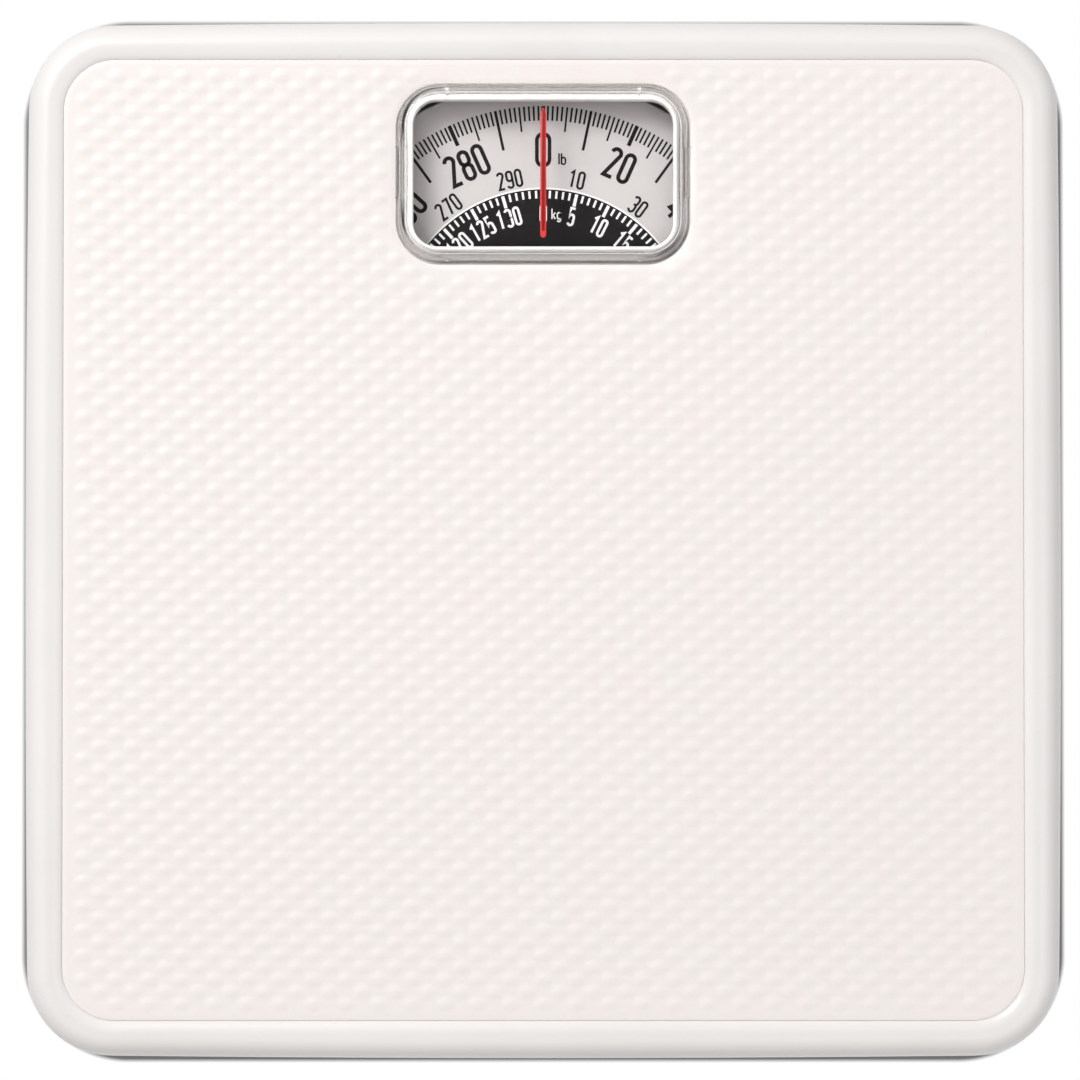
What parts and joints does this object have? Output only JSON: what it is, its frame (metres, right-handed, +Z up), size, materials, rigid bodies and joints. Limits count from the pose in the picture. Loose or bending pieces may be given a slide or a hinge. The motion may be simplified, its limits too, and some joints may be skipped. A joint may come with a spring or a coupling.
{
  "type": "mechanical bathroom scale",
  "caption": "Square low mechanical bathroom scale: white enamelled cover with a pebbled mat, a clear raised lens over a turning dial, and a lever and spring movement inside.",
  "frame": {"origin": "centre of the footprint, on the floor under the feet", "axes": "+X to the right of a person reading the dial, +Y to the edge with the window, +Z up"},
  "size_m": [0.26, 0.26, 0.0505],
  "materials": {
    "cover_enamel": "gloss",
    "mat": "satin",
    "lens": "gloss",
    "pointer": "gloss",
    "base_paint": "satin",
    "dial_print": "satin",
    "wheel_plastic": "satin",
    "brass": "satin",
    "spring_steel": "satin",
    "foot_rubber": "matte",
    "zinc_steel": "satin"
  },
  "bodies": {
    "base": {"base_bearing": "brass", "base_pan": "base_paint", "bracket_rivets": "zinc_steel", "bridge_bearing": "brass", "crank_bracket": "zinc_steel", "crank_pin": "spring_steel", "dial_bridge": "zinc_steel", "foot_front_left": "foot_rubber", "foot_front_right": "foot_rubber", "foot_rear_left": "foot_rubber", "foot_rear_right": "foot_rubber", "fulcrum_bracket_front_left": "zinc_steel", "fulcrum_bracket_front_right": "zinc_steel", "fulcrum_bracket_rear_left": "zinc_steel", "fulcrum_bracket_rear_right": "zinc_steel", "hold_down_spring_left": "spring_steel", "hold_down_spring_right": "spring_steel", "rack_spring": "spring_steel", "rack_spring_post": "zinc_steel", "spring_bracket": "zinc_steel"},
    "platform": {"lens": "lens", "load_bracket_front_left": "zinc_steel", "load_bracket_front_right": "zinc_steel", "load_bracket_rear_left": "zinc_steel", "load_bracket_rear_right": "zinc_steel", "platform_cover": "cover_enamel", "pointer": "pointer", "tread_mat": "mat"},
    "long_lever_left": {"long_lever_left": "zinc_steel", "pivot_pin_front_left": "spring_steel"},
    "long_lever_right": {"long_lever_right": "zinc_steel", "pivot_pin_front_right": "spring_steel"},
    "short_lever_left": {"pivot_pin_rear_left": "spring_steel", "short_lever_left": "zinc_steel"},
    "short_lever_right": {"pivot_pin_rear_right": "spring_steel", "short_lever_right": "zinc_steel"},
    "calibration_plate": {"calibration_plate": "zinc_steel"},
    "adjuster": {"adjuster_yoke": "zinc_steel", "main_spring": "spring_steel"},
    "zero_wheel": {"zero_wheel": "wheel_plastic"},
    "dial": {"dial": "dial_print", "dial_collar": "brass", "dial_shaft": "spring_steel", "dial_washer": "spring_steel", "pinion": "brass"},
    "rack": {"rack": "zinc_steel"},
    "crank": {"crank": "brass"}
  },
  "joints": [
    {"name": "dial_turn", "type": "hinge", "parent": "base", "child": "dial", "pos_m": [0, 0.051, 0.03], "axis": [0, 0, 1], "range_deg": [0, 360], "stiffness_Nm_per_rad": 0.0338, "springref_deg": -5.73},
    {"name": "platform_press", "type": "slide", "parent": "base", "child": "platform", "axis": [0, 0, -1], "range_m": [0, 0.001], "deforming": ["hold_down_spring_left", "hold_down_spring_right"]},
    {"name": "plate_drop", "type": "slide", "parent": "base", "child": "calibration_plate", "axis": [0, 0, -1], "range_m": [0, 0.01001], "deforming": ["main_spring"]},
    {"name": "rack_slide", "type": "slide", "parent": "base", "child": "rack", "axis": [0, 1, 0], "range_m": [0, 0.01571], "deforming": ["rack_spring"]},
    {"name": "crank_swing", "type": "hinge", "parent": "base", "child": "crank", "pos_m": [0.0105, 0.0922, 0.0164], "axis": [-1, 0, 0], "range_deg": [0, 60.02]},
    {"name": "long_lever_left_tilt", "type": "hinge", "parent": "base", "child": "long_lever_left", "pos_m": [-0.1, -0.098, 0.02], "axis": [-0.9224, 0.3862, 0], "range_deg": [0, 2.61]},
    {"name": "long_lever_right_tilt", "type": "hinge", "parent": "base", "child": "long_lever_right", "pos_m": [0.1, -0.098, 0.02], "axis": [-0.9224, -0.3862, 0], "range_deg": [0, 2.61]},
    {"name": "short_lever_left_tilt", "type": "hinge", "parent": "base", "child": "short_lever_left", "pos_m": [-0.1, 0.098, 0.0283], "axis": [0.912, 0.4102, 0], "range_deg": [0, 2.77]},
    {"name": "short_lever_right_tilt", "type": "hinge", "parent": "base", "child": "short_lever_right", "pos_m": [0.1, 0.098, 0.0283], "axis": [0.912, -0.4102, 0], "range_deg": [0, 2.77]},
    {"name": "zero_wheel_turn", "type": "hinge", "parent": "base", "child": "zero_wheel", "pos_m": [0, 0.121, 0.01], "axis": [0, 0, 1], "range_deg": [-360, 360]},
    {"name": "adjuster_lift", "type": "slide", "parent": "base", "child": "adjuster", "axis": [0, 0, 1], "range_m": [-0.0008, 0.0008]}
  ],
  "couplings": [
    {"joint": "dial_turn", "follows": "platform_press", "rad_per_m": 6283.2},
    {"joint": "plate_drop", "follows": "platform_press", "ratio": 10},
    {"joint": "rack_slide", "follows": "platform_press", "ratio": 15.708},
    {"joint": "crank_swing", "follows": "platform_press", "rad_per_m": 1047.2},
    {"joint": "long_lever_left_tilt", "follows": "platform_press", "rad_per_m": 45.439},
    {"joint": "long_lever_right_tilt", "follows": "platform_press", "rad_per_m": 45.439},
    {"joint": "short_lever_left_tilt", "follows": "platform_press", "rad_per_m": 48.255},
    {"joint": "short_lever_right_tilt", "follows": "platform_press", "rad_per_m": 48.255},
    {"joint": "zero_wheel_turn", "follows": "adjuster_lift", "rad_per_m": -7854}
  ]
}
